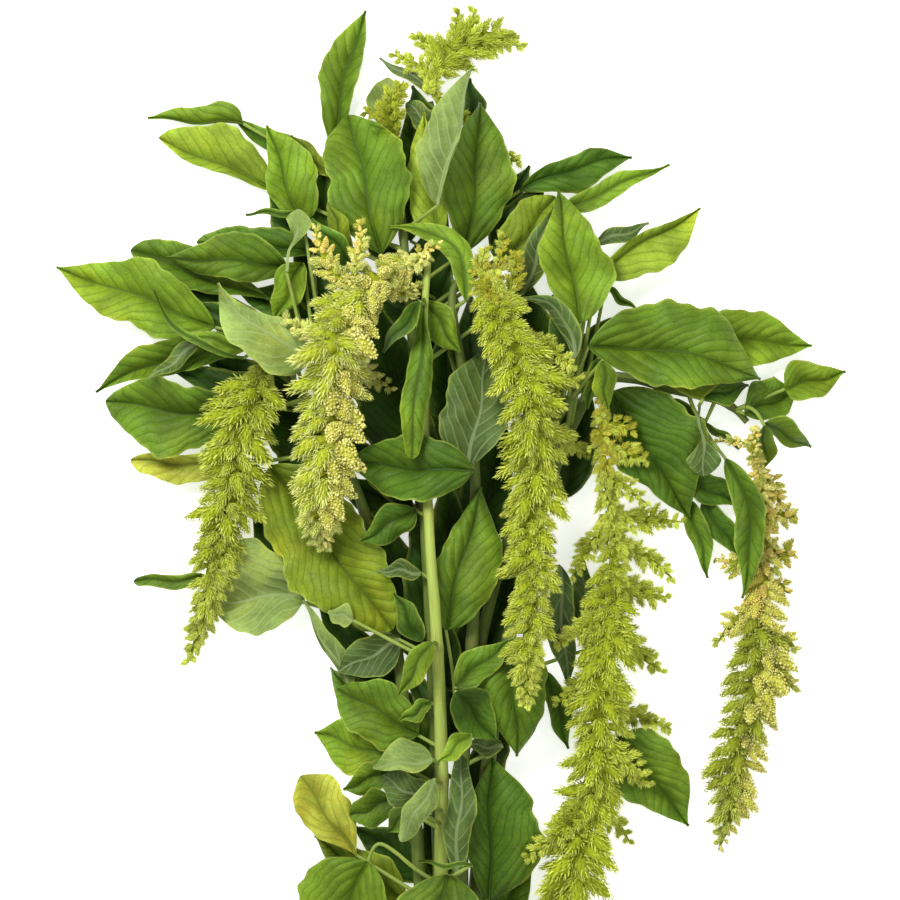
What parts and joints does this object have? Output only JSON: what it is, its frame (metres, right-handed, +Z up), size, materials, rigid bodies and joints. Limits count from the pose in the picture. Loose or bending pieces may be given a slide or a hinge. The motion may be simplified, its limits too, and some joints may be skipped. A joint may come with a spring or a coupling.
{
  "type": "amaranth greens bunch",
  "caption": "Lying bunch of green hanging amaranth: leafy stems tied with a rubber band, broad veined leaves and long drooping flower tassels.",
  "frame": {"origin": "middle of the rubber band's flat underside, on the surface the bunch lies on", "axes": "+Y along the stems from the cut ends to the leaf tips, +Z up from the surface, +X to the right as seen from above with the tips away"},
  "size_m": [0.4372, 0.6518, 0.0851],
  "materials": {
    "leaf": "satin fresh green",
    "tassel": "matt lime green",
    "band": "matt tan"
  },
  "bodies": {
    "root": {"leafy_stem_1": "leaf", "leafy_stem_2": "leaf", "leafy_stem_3": "leaf", "leafy_stem_4": "leaf", "leafy_stem_5": "leaf", "leafy_stem_6": "leaf", "leafy_stem_7": "leaf", "tassel_1": "tassel", "tassel_2": "tassel", "tassel_3": "tassel", "tassel_4": "tassel", "tassel_5": "tassel", "tassel_6": "tassel", "tassel_7": "tassel", "stem_band": "band"}
  },
  "joints": []
}
